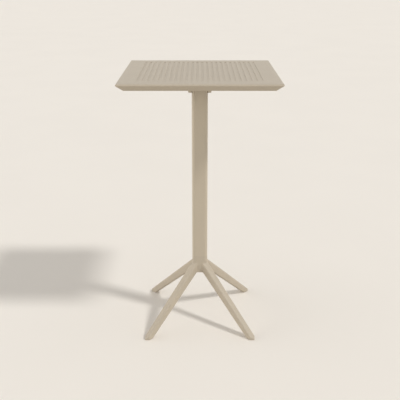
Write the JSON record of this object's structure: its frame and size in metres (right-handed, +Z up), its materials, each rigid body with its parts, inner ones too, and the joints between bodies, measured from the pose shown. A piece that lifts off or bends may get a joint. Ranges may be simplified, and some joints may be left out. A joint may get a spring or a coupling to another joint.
{
  "type": "tilting bar table",
  "caption": "Square grooved bar table top that tilts upright on a clamped hinge, on a rounded square column with a splayed leg base.",
  "frame": {"origin": "on the floor, under the middle of the column and of the flat top", "axes": "+Z up along the column, -Y towards the front, where the top's front edge goes down as it tilts, +X towards the clamp lever's side"},
  "size_m": [0.6, 0.6, 1.08],
  "materials": {
    "taupe_resin": "fine matte moulded texture",
    "taupe_coat": "matte powder coat in the colour of the top",
    "dark_resin": "matte moulded",
    "steel": "zinc plated",
    "brass": "plain",
    "rubber": "matte",
    "friction_fibre": "matte"
  },
  "bodies": {
    "pedestal": {"column_head": "taupe_coat", "hinge_bush_left": "brass", "hinge_bush_right": "brass", "friction_washer_left": "friction_fibre", "friction_washer_right": "friction_fibre", "seat_pads": "rubber", "column": "taupe_coat", "tie_rod": "steel", "rod_washer": "steel", "rod_nut": "steel", "leg_base": "taupe_resin", "glide_rear_right": "dark_resin", "glide_rear_left": "dark_resin", "glide_front_left": "dark_resin", "glide_front_right": "dark_resin"},
    "tilting_top": {"table_top": "taupe_resin", "top_inserts": "brass", "tilt_bracket": "taupe_coat", "bracket_screws": "steel", "clamp_bolt": "steel", "bolt_washer": "steel", "cam_saddle": "dark_resin", "cam_pin": "steel", "fold_pad": "rubber"},
    "lever": {"clamp_lever": "dark_resin"}
  },
  "joints": [
    {"name": "top_tilt", "type": "hinge", "parent": "pedestal", "child": "tilting_top", "pos_m": [0, -0.015, 1.014], "axis": [1, 0, 0], "range_deg": [0, 90]},
    {"name": "lever_swing", "type": "hinge", "parent": "tilting_top", "child": "lever", "pos_m": [0.0633, -0.015, 1.014], "axis": [0, 0, -1], "range_deg": [0, 90]}
  ]
}
